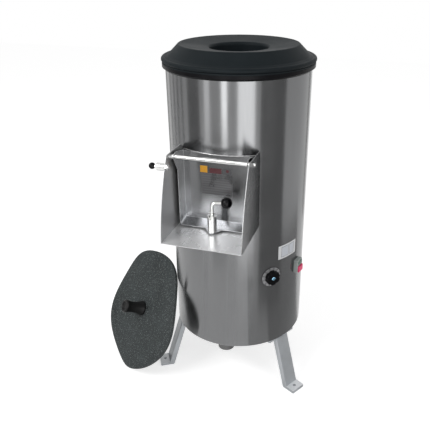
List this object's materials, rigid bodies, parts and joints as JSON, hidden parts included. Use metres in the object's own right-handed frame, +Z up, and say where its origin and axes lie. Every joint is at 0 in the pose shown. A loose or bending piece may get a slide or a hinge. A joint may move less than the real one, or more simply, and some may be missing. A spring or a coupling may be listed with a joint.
{
  "type": "electric potato peeler",
  "caption": "Upright stainless drum on legs with a funnel lid, a hinged door over a chute, a spinning abrasive disc and a motor below. It peels potatoes; a spare disc leans on it.",
  "frame": {"origin": "on the floor under the drum's axis, at the centre of the circle of foot bolts", "axes": "+Z up the drum's axis; -Y out of the chute; +X to the right of someone who faces the chute, the side with the controls"},
  "size_m": [0.7205, 0.612, 1.0338],
  "materials": {
    "stainless": "brushed",
    "polished_steel": "polished",
    "machined_steel": "machined",
    "rim_rubber": "matte",
    "lid_plastic": "matte",
    "cast_aluminium": "cast",
    "cast_iron": "as cast",
    "abrasive": "grit coated",
    "grip_plastic": "moulded",
    "ball_plastic": "gloss",
    "belt_rubber": "matte",
    "motor_paint": "satin",
    "plate_metal": "satin",
    "patch_colours": "printed",
    "label_white": "printed",
    "dial_metal": "satin",
    "knob_plastic": "satin",
    "timer_plastic": "moulded",
    "spindle_steel": "turned",
    "switch_grey": "moulded",
    "start_green": "satin",
    "stop_red": "satin",
    "gland_plastic": "moulded"
  },
  "bodies": {
    "machine": {"base_plate": "stainless", "bearing_balls": "machined_steel", "bearing_housing": "cast_iron", "bearing_outer_rings": "machined_steel", "cable_gland": "gland_plastic", "chamber_floor": "stainless", "chute_left_cheek": "stainless", "chute_right_cheek": "stainless", "chute_tray": "stainless", "contact_block": "timer_plastic", "dial_plate": "dial_metal", "drain_pipe": "stainless", "drum_shell": "stainless", "hinge_nuts": "polished_steel", "hinge_rod": "polished_steel", "hinge_spacers": "polished_steel", "housing_bolts": "machined_steel", "inlet_pipe": "polished_steel", "leg_back": "cast_aluminium", "leg_fasteners": "machined_steel", "leg_left": "cast_aluminium", "leg_right": "cast_aluminium", "motor_body": "motor_paint", "motor_bolts": "machined_steel", "motor_plate": "machined_steel", "plunger_nut": "polished_steel", "plunger_sleeve": "polished_steel", "plunger_spring": "machined_steel", "rim_collar": "rim_rubber", "shaft_seal": "belt_rubber", "side_label": "label_white", "switch_housing": "switch_grey", "timer_body": "timer_plastic", "v_belt": "belt_rubber"},
    "rotor": {"main_shaft": "machined_steel", "bearing_inner_rings": "machined_steel", "drive_hub": "machined_steel", "abrasive_disc": "abrasive", "disc_handle": "grip_plastic", "driven_pulley": "cast_iron"},
    "motor_rotor": {"motor_shaft": "machined_steel", "motor_pulley": "cast_iron"},
    "lid": {"lid": "lid_plastic"},
    "door": {"door_pan": "stainless", "hinge_tube": "polished_steel", "door_text_plate": "plate_metal", "door_patches": "patch_colours", "latch_sleeve": "polished_steel"},
    "latch_lift": {"latch_washer": "polished_steel"},
    "latch": {"latch_rod": "polished_steel", "latch_cross_pin": "polished_steel", "latch_ball": "ball_plastic"},
    "plunger": {"plunger_pin": "polished_steel", "plunger_ball": "ball_plastic"},
    "timer": {"timer_knob": "knob_plastic", "timer_spindle": "spindle_steel"},
    "start_button": {"start_button": "start_green"},
    "stop_button": {"stop_button": "stop_red"},
    "spare": {"spare_disc": "abrasive", "spare_disc_handle": "grip_plastic"}
  },
  "joints": [
    {"name": "disc_spin", "type": "hinge", "parent": "machine", "child": "rotor", "pos_m": [0, 0, 0.4], "axis": [0, 0, 1], "continuous": true},
    {"name": "motor_spin", "type": "hinge", "parent": "machine", "child": "motor_rotor", "pos_m": [0, 0.128, 0.3], "axis": [0, 0, 1], "continuous": true},
    {"name": "lid_lift", "type": "slide", "parent": "machine", "child": "lid", "axis": [0, 0, 1], "range_m": [0, 0.12]},
    {"name": "door_swing", "type": "hinge", "parent": "machine", "child": "door", "pos_m": [0, -0.245, 0.784], "axis": [-1, 0, 0], "range_deg": [0, 100]},
    {"name": "latch_slide", "type": "slide", "parent": "door", "child": "latch_lift", "axis": [0, 0, 1], "range_m": [-0.006, 0.012]},
    {"name": "latch_turn", "type": "hinge", "parent": "latch_lift", "child": "latch", "pos_m": [0, -0.246, 0.62], "axis": [0, 0, 1], "continuous": true},
    {"name": "plunger_pull", "type": "slide", "parent": "machine", "child": "plunger", "axis": [-1, 0, 0], "range_m": [-0.0045, 0.0035], "stiffness_N_per_m": 400},
    {"name": "timer_turn", "type": "hinge", "parent": "machine", "child": "timer", "pos_m": [0.14043, -0.14241, 0.408], "axis": [0.7022, -0.712, 0], "range_deg": [0, 300]},
    {"name": "start_press", "type": "slide", "parent": "machine", "child": "start_button", "axis": [-0.9703, 0.2419, 0], "range_m": [0, 0.003], "stiffness_N_per_m": 800},
    {"name": "stop_press", "type": "slide", "parent": "machine", "child": "stop_button", "axis": [-0.9703, 0.2419, 0], "range_m": [0, 0.003], "stiffness_N_per_m": 800},
    {"name": "spare_carry", "type": "slide", "parent": "machine", "child": "spare", "axis": [-0.9532, -0.3024, 0], "range_m": [0, 0.2]}
  ],
  "couplings": [
    {"joint": "motor_spin", "follows": "disc_spin", "ratio": 4.8947}
  ]
}
